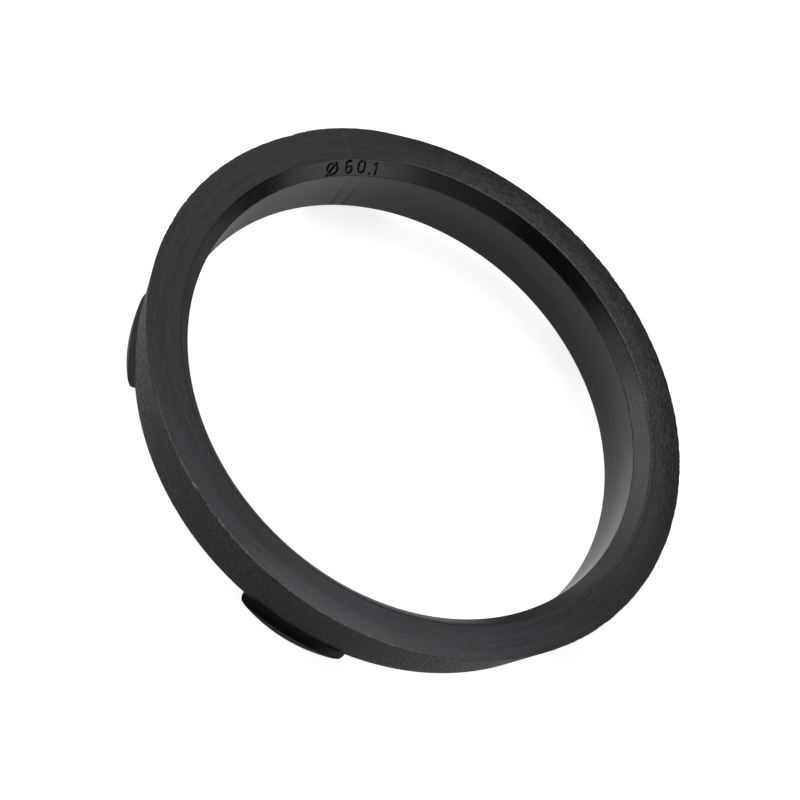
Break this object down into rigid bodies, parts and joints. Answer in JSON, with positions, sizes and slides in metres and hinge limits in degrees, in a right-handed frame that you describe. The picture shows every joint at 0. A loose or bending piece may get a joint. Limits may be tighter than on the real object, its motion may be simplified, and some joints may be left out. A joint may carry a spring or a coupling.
{
  "type": "hub centric ring",
  "caption": "Moulded black plastic ring with a turned bore, a lead-in chamfer and snap lugs, which centres a wheel's larger bore on a smaller hub spigot.",
  "frame": {"origin": "on the ring's axis, in the plane that the ends of the snap lugs stand on", "axes": "+Z along the bore's axis, out of the front face with the lead-in chamfer; +X through the middle of one snap lug"},
  "size_m": [0.0716, 0.0716, 0.0115],
  "materials": {
    "black_plastic": "turned on the face, the chamfer and the bore, fine grain on the outer wall"
  },
  "bodies": {
    "root": {"centring_ring": "black_plastic"}
  },
  "joints": []
}
